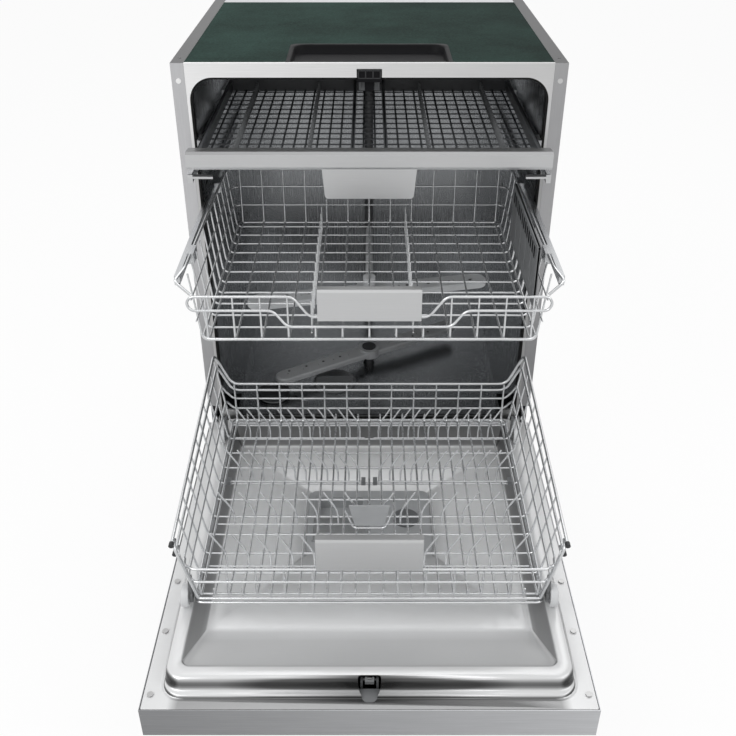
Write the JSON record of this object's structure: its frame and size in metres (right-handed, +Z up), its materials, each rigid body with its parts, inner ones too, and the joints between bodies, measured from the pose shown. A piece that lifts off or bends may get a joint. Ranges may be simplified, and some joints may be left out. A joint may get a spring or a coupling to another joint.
{
  "type": "dishwasher",
  "caption": "Built-in dishwasher with a drop-down door, two wire racks and a cutlery tray on rails, drawn out over the open door, with tub, spray arms, filter and dispenser.",
  "frame": {"origin": "the floor, under the middle of the cabinet's front plane", "axes": "+X to the right seen from the front, +Y to the rear, +Z up"},
  "size_m": [0.598, 1.142, 0.82],
  "materials": {
    "tub_steel": "satin",
    "frame_steel": "satin",
    "door_steel": "satin",
    "inner_door_steel": "polished",
    "rack_wire": "satin",
    "rail_steel": "satin",
    "zinc_sheet": "satin",
    "trim_grey": "satin",
    "top_green": "satin",
    "grip_grey": "satin",
    "tray_grey": "matte",
    "light_plastic": "satin",
    "dark_plastic": "matte",
    "black_plastic": "satin",
    "clip_grey": "matte",
    "seal_rubber": "matte",
    "screw_steel": "polished"
  },
  "bodies": {
    "cabinet": {"base_pan": "dark_plastic", "tub": "tub_steel", "front_frame": "frame_steel", "door_gasket": "seal_rubber", "side_panels": "zinc_sheet", "side_trims": "trim_grey", "top_sheet": "top_green", "top_recess": "black_plastic", "rear_panel": "zinc_sheet", "plinth": "trim_grey", "feet": "dark_plastic", "hinge_brackets": "rail_steel", "door_springs": "rail_steel", "sump": "dark_plastic", "fine_filter": "tub_steel", "circulation_pump": "dark_plastic", "drain_pump": "dark_plastic", "water_softener": "light_plastic", "inlet_valve": "light_plastic", "feed_pipe": "light_plastic", "striker": "black_plastic", "fixed_rails": "rail_steel"},
    "filter_cup": {"filter_cup": "clip_grey"},
    "salt_cap": {"salt_cap": "dark_plastic"},
    "lower_spray_arm": {"lower_spray_arm": "light_plastic"},
    "door": {"door_outer_panel": "door_steel", "door_inner_panel": "inner_door_steel", "door_screws": "screw_steel", "hinge_arms": "rail_steel", "dispenser_body": "light_plastic", "control_unit": "dark_plastic"},
    "detergent_lid": {"detergent_lid": "grip_grey"},
    "rinse_cap": {"rinse_cap": "clip_grey"},
    "latch_catch": {"latch_catch": "black_plastic"},
    "button_power": {"button_power": "grip_grey"},
    "button_program": {"button_program": "grip_grey"},
    "button_start": {"button_start": "grip_grey"},
    "tray_slide_rails": {"tray_slide_rails": "rail_steel"},
    "cutlery_tray": {"tray_front": "grip_grey", "tray_basket": "tray_grey", "tray_runners": "rail_steel"},
    "middle_slide_rails": {"middle_slide_rails": "rail_steel"},
    "middle_rack": {"middle_basket_floor": "rack_wire", "middle_basket_sides": "rack_wire", "middle_handle": "grip_grey", "middle_runners": "rail_steel", "middle_feed_tube": "light_plastic", "middle_tines": "rack_wire"},
    "middle_spray_arm": {"middle_spray_arm": "light_plastic"},
    "cup_shelf": {"cup_shelf": "light_plastic"},
    "lower_axle": {"lower_axle": "rail_steel"},
    "lower_rack": {"lower_basket_floor": "rack_wire", "lower_basket_sides": "rack_wire", "lower_handle": "grip_grey", "lower_fixed_tines": "rack_wire", "lower_rack_clips": "clip_grey"},
    "lower_tines_left": {"lower_tines_left": "rack_wire"},
    "lower_tines_right": {"lower_tines_right": "rack_wire"},
    "front_wheels": {"front_wheels": "light_plastic"},
    "rear_wheels": {"rear_wheels": "light_plastic"}
  },
  "joints": [
    {"name": "door_hinge", "type": "hinge", "parent": "cabinet", "child": "door", "pos_m": [0, -0.003, 0.168], "axis": [-1, 0, 0], "range_deg": [0, 90]},
    {"name": "tray_rail_travel", "type": "slide", "parent": "cabinet", "child": "tray_slide_rails", "axis": [0, 1, 0], "range_m": [0, 0.14]},
    {"name": "tray_travel", "type": "slide", "parent": "tray_slide_rails", "child": "cutlery_tray", "axis": [0, 1, 0], "range_m": [-0.28, 0]},
    {"name": "middle_rail_travel", "type": "slide", "parent": "cabinet", "child": "middle_slide_rails", "axis": [0, 1, 0], "range_m": [0, 0.305]},
    {"name": "middle_rack_travel", "type": "slide", "parent": "middle_slide_rails", "child": "middle_rack", "axis": [0, 1, 0], "range_m": [-0.16, 0]},
    {"name": "lower_axle_travel", "type": "slide", "parent": "door", "child": "lower_axle", "axis": [0, 1, 0], "range_m": [0, 0.4404]},
    {"name": "lower_rack_level", "type": "hinge", "parent": "lower_axle", "child": "lower_rack", "pos_m": [0, -0.4807, 0.2053], "axis": [1, 0, 0], "range_deg": [0, 90]},
    {"name": "front_wheel_roll", "type": "hinge", "parent": "lower_axle", "child": "front_wheels", "pos_m": [0, -0.4807, 0.2053], "axis": [-1, 0, 0], "range_deg": [0, 1502]},
    {"name": "rear_wheel_roll", "type": "hinge", "parent": "lower_rack", "child": "rear_wheels", "pos_m": [0, -0.1, 0.2053], "axis": [-1, 0, 0], "range_deg": [0, 1757]},
    {"name": "left_tines_fold", "type": "hinge", "parent": "lower_rack", "child": "lower_tines_left", "pos_m": [0, -0.237, 0.2108], "axis": [-1, 0, 0], "range_deg": [0, 80]},
    {"name": "right_tines_fold", "type": "hinge", "parent": "lower_rack", "child": "lower_tines_right", "pos_m": [0, -0.237, 0.2108], "axis": [-1, 0, 0], "range_deg": [0, 80]},
    {"name": "cup_shelf_fold", "type": "hinge", "parent": "middle_rack", "child": "cup_shelf", "pos_m": [0.232, 0, 0.553], "axis": [0, -1, 0], "range_deg": [0, 88]},
    {"name": "middle_arm_spin", "type": "hinge", "parent": "middle_rack", "child": "middle_spray_arm", "pos_m": [0, -0.06, 0.468], "axis": [0, 0, 1], "continuous": true},
    {"name": "lower_arm_spin", "type": "hinge", "parent": "cabinet", "child": "lower_spray_arm", "pos_m": [0, 0.24, 0.171], "axis": [0, 0, 1], "continuous": true},
    {"name": "filter_cup_turn", "type": "hinge", "parent": "cabinet", "child": "filter_cup", "pos_m": [-0.07, 0.165, 0.14], "axis": [0, 0, 1], "range_deg": [0, 90]},
    {"name": "salt_cap_turn", "type": "hinge", "parent": "cabinet", "child": "salt_cap", "pos_m": [-0.19, 0.12, 0.15], "axis": [0, 0, 1], "range_deg": [0, 180]},
    {"name": "detergent_lid_slide", "type": "slide", "parent": "door", "child": "detergent_lid", "axis": [0, 1, 0], "range_m": [0, 0.056]},
    {"name": "rinse_cap_turn", "type": "hinge", "parent": "door", "child": "rinse_cap", "pos_m": [0.06, -0.261, 0.153], "axis": [0, 0, 1], "range_deg": [0, 90]},
    {"name": "latch_turn", "type": "hinge", "parent": "door", "child": "latch_catch", "pos_m": [0, -0.6, 0.174], "axis": [1, 0, 0], "range_deg": [0, 12], "stiffness_Nm_per_rad": 0.5, "springref_deg": -5.73},
    {"name": "power_press", "type": "slide", "parent": "door", "child": "button_power", "axis": [0, 0, 1], "range_m": [0, 0.0015], "stiffness_N_per_m": 300, "springref_m": -0.001},
    {"name": "program_press", "type": "slide", "parent": "door", "child": "button_program", "axis": [0, 0, 1], "range_m": [0, 0.0015], "stiffness_N_per_m": 300, "springref_m": -0.001},
    {"name": "start_press", "type": "slide", "parent": "door", "child": "button_start", "axis": [0, 0, 1], "range_m": [0, 0.0015], "stiffness_N_per_m": 300, "springref_m": -0.001}
  ],
  "couplings": [
    {"joint": "tray_rail_travel", "follows": "door_hinge", "m_per_rad": 0.08912},
    {"joint": "middle_rail_travel", "follows": "door_hinge", "m_per_rad": 0.19416},
    {"joint": "lower_axle_travel", "follows": "door_hinge", "m_per_rad": 0.28036},
    {"joint": "lower_rack_level", "follows": "door_hinge", "ratio": 1},
    {"joint": "front_wheel_roll", "follows": "door_hinge", "ratio": 16.688},
    {"joint": "rear_wheel_roll", "follows": "door_hinge", "ratio": 19.515}
  ]
}
